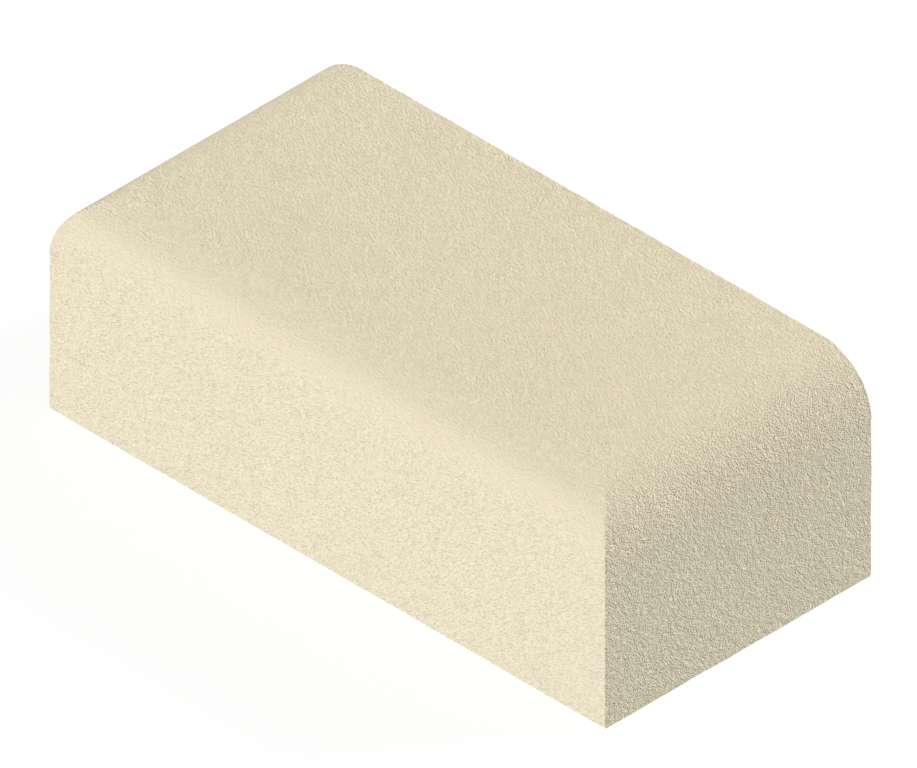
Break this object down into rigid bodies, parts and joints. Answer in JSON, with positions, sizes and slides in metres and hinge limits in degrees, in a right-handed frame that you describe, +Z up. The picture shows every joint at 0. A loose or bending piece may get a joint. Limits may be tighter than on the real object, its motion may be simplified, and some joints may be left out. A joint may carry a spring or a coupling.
{
  "type": "bullnose brick",
  "caption": "Solid fired clay brick with a mitred bullnose along its front long edge and both end edges and a square back edge, for capping walls and piers.",
  "frame": {"origin": "centre of the flat bed face that the brick lies on", "axes": "+X along the length from one bullnosed end to the other, +Y towards the square back stretcher face, so the bullnosed long edge is on the -Y side, +Z up from the bed to the flat top"},
  "size_m": [0.23, 0.11, 0.076],
  "materials": {
    "fired_clay": "matte"
  },
  "bodies": {
    "root": {"bullnose_brick": "fired_clay"}
  },
  "joints": []
}
